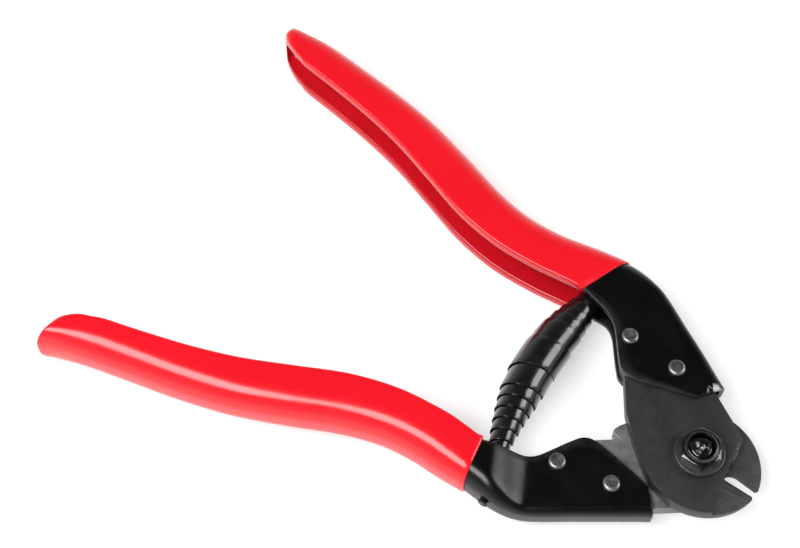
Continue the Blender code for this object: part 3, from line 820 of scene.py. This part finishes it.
def build_pivot():
    washer_low = BLADE_HIGH + GAP
    washer_high = washer_low + WASHER_THICKNESS
    nut_low = washer_high + GAP
    nut_high = nut_low + NUT_HEIGHT
    flat_high = nut_low + 2.4
    soft = 0.35
    rim = [(WASHER_RADIUS - soft + soft * math.sin(a), washer_high - soft + soft * math.cos(a))
           for a in (math.radians(v) for v in (0, 25, 50, 70, 90))]
    washer = [(BORE_RADIUS, washer_high)] + rim
    washer += [(WASHER_RADIUS, washer_low - 0.2), (BORE_RADIUS, washer_low - 0.2)]
    obj = turned("pivot_washer_turned", washer, UPPER, [WASHER],
                 "pivot_washer", steps=96)
    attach(obj, LOWER)

    soft = 0.42
    collar = [(0.0, nut_high), (COLLAR_RADIUS, nut_high)]
    collar += [(COLLAR_RADIUS + soft * math.sin(a), nut_high - soft * (1 - math.cos(a)))
               for a in (math.radians(v) for v in (25, 50, 75, 90))]
    collar += [(4.15, flat_high + 0.25), (4.35, flat_high + 0.02), (4.8, flat_high - 0.05),
               (7.5, flat_high - 1.4), (7.5, nut_low - 1), (0.0, nut_low - 1)]
    bore = [(0.0, nut_high + 1), (3.55, nut_high + 1), (3.5, nut_high - 0.1),
            (BORE_RADIUS, nut_high - 0.45), (BORE_RADIUS, nut_low - 1), (0.0, nut_low - 1)]
    hex_piece("pivot_nut_hex", LOWER, hexagon(nut_low - 0.25, nut_high),
              [(turned_cutter(collar), 'INTERSECT'), (turned_cutter(bore), 'DIFFERENCE')],
              "pivot_nut")

    head_low = -PARTING
    head_high = -BLADE_HIGH - GAP
    head = [(0.0, head_high + 1), (8.0, head_high + 1), (8.0, head_low + 1.9),
            (4.87, head_low), (0.0, head_low)]
    end = nut_high - 0.8
    thread = []
    z = end - 0.35
    while z > nut_low - 1.0:
        thread += [(2.98, z), (2.62, z - 0.5)]
        z -= 1.0
    shank = [(0.0, end - 1.0), (0.45, end - 0.55), (0.8, end - 0.06), (1.0, end), (2.35, end),
             (2.6, end - 0.12)] + thread + [(3.0, z), (3.0, head_high - 0.8), (0.0, head_high - 0.8)]
    hex_piece("pivot_bolt_hex", LOWER, hexagon(head_low, head_high + 0.25),
              [(turned_cutter(head), 'INTERSECT'), (turned_cutter(shank), 'UNION')],
              "pivot_bolt")


# ---- spring ---------------------------------------------------------------------------------
def spring_frame(y):
    """The bowed centre line's point at this height, and the direction across it."""
    phase = math.pi * (y - 1.0) / 74.0
    lean = 6.3 * math.pi / 74.0 * math.sin(phase)
    return Vector((-41.5 - 6.3 * math.cos(phase), y, 0.0)), Vector((1.0, -lean, 0.0)).normalized()


def strip_height(turn):
    """How far along the spring each turn of the strip lies."""
    turns = abs(turn)
    tail = max(turns - 6.0, 0.0)
    return 3.8 + math.copysign(3.0 * turns + 3.5 * min(turns, 1.0) + 0.8 * tail * tail, turn)


def build_spring():
    steps = 48
    width, thickness, radius, taper = 9.2, 0.26, 6.25, 0.51
    first, last = round(-8.5 * steps), round(7.25 * steps)
    soft = 0.1
    across = [-0.5 + soft / width * 1.2, -0.3, -0.1, 0.1, 0.3, 0.5 - soft / width * 1.2]
    outline = [(0.0, a * width) for a in reversed(across)]
    outline += [(soft * 0.35, -width / 2 + 0.03), (soft, -width / 2),
                (thickness - soft, -width / 2)]
    outline += [(thickness, a * width) for a in across]
    outline += [(thickness - soft, width / 2), (soft, width / 2), (soft * 0.35, width / 2 - 0.03)]
    verts = []
    for i in range(first, last + 1):
        turn = i / steps
        angle = math.pi / 2 - 2 * math.pi * turn
        for inner, side in outline:
            r = radius - taper * abs(turn) - inner
            centre, sideways = spring_frame(strip_height(turn) + side)
            verts.append(centre + r * math.cos(angle) * sideways
                         + Vector((0.0, 0.0, r * math.sin(angle))))
    count = len(outline)
    rings = last - first + 1
    faces = ring_faces(0, count, rings)
    faces += [tuple(range(count)), tuple(range(count * (rings - 1), count * rings))]
    obj = piece("volute_strip", verts, faces, UPPER, [SPRING], "return_spring")
    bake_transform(obj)


# ---- stage ----------------------------------------------------------------------------------
def area_light(name, location, target, size, power):
    data = bpy.data.lights.new(name, 'AREA')
    data.shape = 'RECTANGLE'
    data.size, data.size_y = size
    data.energy = power
    light = bpy.data.objects.new(name, data)
    bpy.context.scene.collection.objects.link(light)
    light.location = location
    direction = Vector(target) - Vector(location)
    light.rotation_euler = direction.to_track_quat('-Z', 'Y').to_euler()


def build_stage():
    bpy.ops.mesh.primitive_plane_add(size=6.0, location=(0.0, 0.0, -0.0002))
    floor = bpy.context.active_object
    floor.name = "floor"
    mat = bpy.data.materials.new("floor_white")
    mat.use_nodes = True
    shader = mat.node_tree.nodes["Principled BSDF"]
    shader.inputs["Base Color"].default_value = (0.56, 0.56, 0.56, 1.0)
    shader.inputs["Roughness"].default_value = 0.9
    shader.inputs["Specular IOR Level"].default_value = 0.1
    shader.inputs["Emission Color"].default_value = (1.0, 1.0, 1.0, 1.0)
    shader.inputs["Emission Strength"].default_value = 0.56
    floor.data.materials.append(mat)

    centre = (-0.06, 0.0, 0.01)
    area_light("key_strip", (-0.31, -0.50, 0.89), centre, (0.8, 0.46), 11.0)
    area_light("right_softbox", (0.58, 0.45, 0.62), centre, (0.42, 0.5), 3.4)

    world = bpy.data.worlds.new("studio")
    bpy.context.scene.world = world
    world.use_nodes = True
    tree = world.node_tree
    coords = tree.nodes.new("ShaderNodeTexCoord").outputs["Generated"]
    split = tree.nodes.new("ShaderNodeSeparateXYZ")
    tree.links.new(coords, split.inputs[0])
    ramp_node = tree.nodes.new("ShaderNodeValToRGB")
    tree.links.new(split.outputs["Z"], ramp_node.inputs[0])
    stops = ramp_node.color_ramp.elements
    stops[0].position, stops[0].color = 0.0, (0.7, 0.7, 0.7, 1.0)
    stops[1].position, stops[1].color = 0.8, (0.06, 0.06, 0.06, 1.0)
    for position, grey in ((0.35, 0.5), (0.6, 0.2)):
        stop = stops.new(position)
        stop.color = (grey, grey, grey, 1.0)
    tree.links.new(ramp_node.outputs["Color"], tree.nodes["Background"].inputs["Color"])
    tree.nodes["Background"].inputs["Strength"].default_value = 1.0


def build_camera():
    data = bpy.data.cameras.new("camera")
    data.lens = 72.0
    data.sensor_width = 36.0
    data.clip_start, data.clip_end = 0.02, 20.0
    camera = bpy.data.objects.new("camera", data)
    bpy.context.scene.collection.objects.link(camera)
    axes = Matrix(((0.8554, -0.4577, 0.2425), (0.5178, 0.7415, -0.4267), (0.0154, 0.4906, 0.8713)))
    camera.matrix_world = Matrix.Translation((0.01274, -0.17868, 0.38706)) @ axes.to_4x4()
    bpy.context.scene.camera = camera


build_camera()
for body_name, arm in ((UPPER, "upper"), (LOWER, "lower")):
    build_channel(body_name, f"{arm}_channel", f"{arm}_handle")
    build_grip(body_name, f"{arm}_dipped_grip", f"{arm}_grip")
    build_rivets(body_name, arm)
    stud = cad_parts[f"{arm}_spring_stud"]
    for stud_slot in stud.material_slots:
        stud_slot.material = STUD
build_blade(UPPER, "front_blade_ground", "front_blade", UPPER_EDGE, FLANK)
build_blade(LOWER, "back_blade_ground", "back_blade", LOWER_EDGE, FLANK_WITH_LUG)
build_pivot()
build_spring()
build_stage()
bpy.context.scene.view_settings.view_transform = 'Standard'
